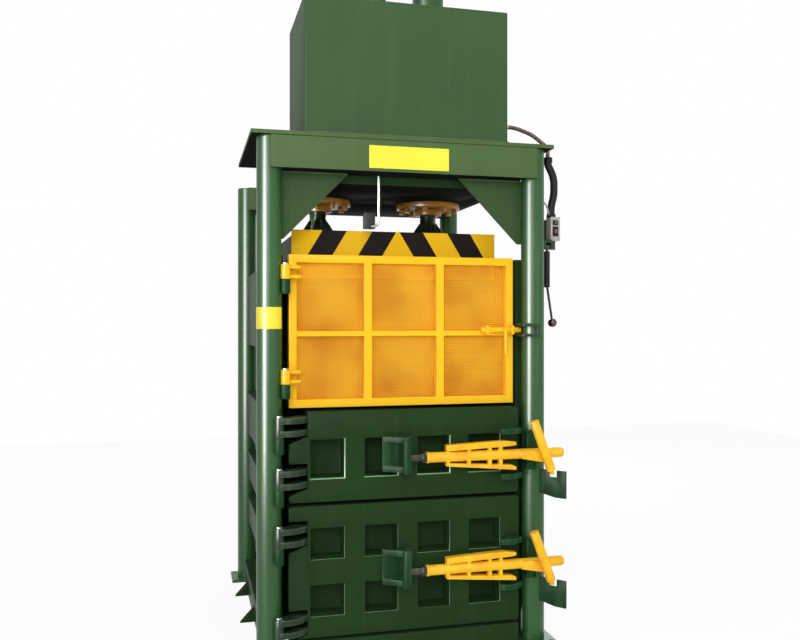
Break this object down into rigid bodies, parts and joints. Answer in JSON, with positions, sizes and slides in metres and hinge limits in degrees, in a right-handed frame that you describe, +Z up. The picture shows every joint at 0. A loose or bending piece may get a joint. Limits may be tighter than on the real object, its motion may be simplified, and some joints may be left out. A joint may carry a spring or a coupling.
{
  "type": "recycling baler",
  "caption": "Upright hydraulic recycling baler: tube frame, twin cylinder ram, hinged mesh feed door and hinged bale doors with swinging latches.",
  "frame": {"origin": "centre of the anchor hole rectangle, on the floor under the feet", "axes": "+Z up, -Y towards the operator at the doors, +X to the operator's right"},
  "size_m": [1.5685, 1.651, 3.61],
  "materials": {
    "green_paint": "semi-gloss enamel",
    "yellow_paint": "semi-gloss enamel",
    "yellow_mesh": "satin enamel on perforated sheet",
    "striped_paint": "yellow enamel with black slanted bars",
    "plate_yellow": "satin enamel on thin sheet",
    "steel": "oiled machined steel",
    "black_rubber": "matte",
    "dark_metal": "dull paint",
    "grey_plastic": "satin",
    "dark_red_plastic": "gloss",
    "red_plastic": "gloss",
    "green_plastic": "gloss"
  },
  "bodies": {
    "frame": {"base_rails": "green_paint", "column_feet": "green_paint", "front_left_column": "green_paint", "front_right_column": "green_paint", "rear_left_column": "green_paint", "rear_right_column": "green_paint", "front_beam": "green_paint", "rear_beam": "green_paint", "corner_gussets": "green_paint", "top_plate": "green_paint", "crosshead": "green_paint", "left_side_wall": "green_paint", "right_side_wall": "green_paint", "rear_wall": "green_paint", "chamber_floor": "green_paint", "head_housing": "green_paint", "head_housing_cover": "green_paint", "oil_tank": "green_paint", "motor_and_pump": "dark_metal", "cylinder_barrels": "green_paint", "cylinder_flanges": "yellow_paint", "flange_bolts": "yellow_paint", "gland_rings": "yellow_paint", "rear_post": "green_paint", "valve_body": "green_paint", "hydraulic_hose": "black_rubber", "control_conduit": "black_rubber", "control_box": "grey_plastic", "blank_plates": "plate_yellow", "switch_rod": "steel", "limit_switch": "dark_metal", "column_knuckles": "green_paint", "hinge_pins": "steel", "bolt_keeper": "green_paint", "latch_catches": "green_paint"},
    "ram": {"ram_rods": "steel", "ram_platen": "green_paint", "striped_board": "striped_paint"},
    "feed_door": {"feed_door_frame": "yellow_paint", "feed_door_mesh": "yellow_mesh", "feed_door_knuckles": "yellow_paint", "bolt_guides": "yellow_paint"},
    "feed_bolt": {"slide_bolt": "yellow_paint"},
    "upper_door": {"upper_door": "green_paint", "upper_door_hinges": "green_paint", "upper_latch_bracket": "green_paint"},
    "lower_door": {"lower_door": "green_paint", "lower_door_hinges": "green_paint", "lower_latch_bracket": "green_paint"},
    "upper_latch": {"upper_latch_arm": "yellow_paint", "upper_latch_rod": "steel"},
    "lower_latch": {"lower_latch_arm": "yellow_paint", "lower_latch_rod": "steel"},
    "upper_lever": {"upper_latch_lever": "yellow_paint"},
    "lower_lever": {"lower_latch_lever": "yellow_paint"},
    "valve_lever": {"valve_lever": "steel", "lever_sleeve": "black_rubber", "lever_knob": "dark_red_plastic"},
    "start_button": {"start_button": "green_plastic"},
    "stop_button": {"stop_button": "red_plastic"}
  },
  "joints": [
    {"name": "ram_slide", "type": "slide", "parent": "frame", "child": "ram", "axis": [0, 0, -1], "range_m": [0, 1.15]},
    {"name": "feed_door_hinge", "type": "hinge", "parent": "frame", "child": "feed_door", "pos_m": [-0.578, -0.72323, 1.536], "axis": [0, 0, -1], "range_deg": [0, 110]},
    {"name": "feed_bolt_slide", "type": "slide", "parent": "feed_door", "child": "feed_bolt", "axis": [-1, 0, 0], "range_m": [0, 0.07]},
    {"name": "upper_door_hinge", "type": "hinge", "parent": "frame", "child": "upper_door", "pos_m": [-0.61, -0.75847, 0.95], "axis": [0, 0, -1], "range_deg": [0, 110]},
    {"name": "lower_door_hinge", "type": "hinge", "parent": "frame", "child": "lower_door", "pos_m": [-0.61, -0.75847, 0.42], "axis": [0, 0, -1], "range_deg": [0, 110]},
    {"name": "upper_latch_swing", "type": "hinge", "parent": "upper_door", "child": "upper_latch", "pos_m": [-0.019, -0.79, 0.943], "axis": [0, 0, -1], "range_deg": [0, 120]},
    {"name": "lower_latch_swing", "type": "hinge", "parent": "lower_door", "child": "lower_latch", "pos_m": [-0.019, -0.79, 0.414], "axis": [0, 0, -1], "range_deg": [0, 120]},
    {"name": "upper_lever_tilt", "type": "hinge", "parent": "upper_latch", "child": "upper_lever", "pos_m": [0.661, -0.844, 0.921], "axis": [0, -1, 0], "range_deg": [0, 60]},
    {"name": "lower_lever_tilt", "type": "hinge", "parent": "lower_latch", "child": "lower_lever", "pos_m": [0.661, -0.844, 0.392], "axis": [0, -1, 0], "range_deg": [0, 60]},
    {"name": "valve_lever_swing", "type": "hinge", "parent": "frame", "child": "valve_lever", "pos_m": [0.76, -0.618, 1.961], "axis": [1, 0, 0], "range_deg": [-20, 20], "stiffness_Nm_per_rad": 4},
    {"name": "start_press", "type": "slide", "parent": "frame", "child": "start_button", "axis": [0, 1, 0], "range_m": [0, 0.004], "stiffness_N_per_m": 300},
    {"name": "stop_press", "type": "slide", "parent": "frame", "child": "stop_button", "axis": [0, 1, 0], "range_m": [0, 0.004], "stiffness_N_per_m": 300}
  ]
}
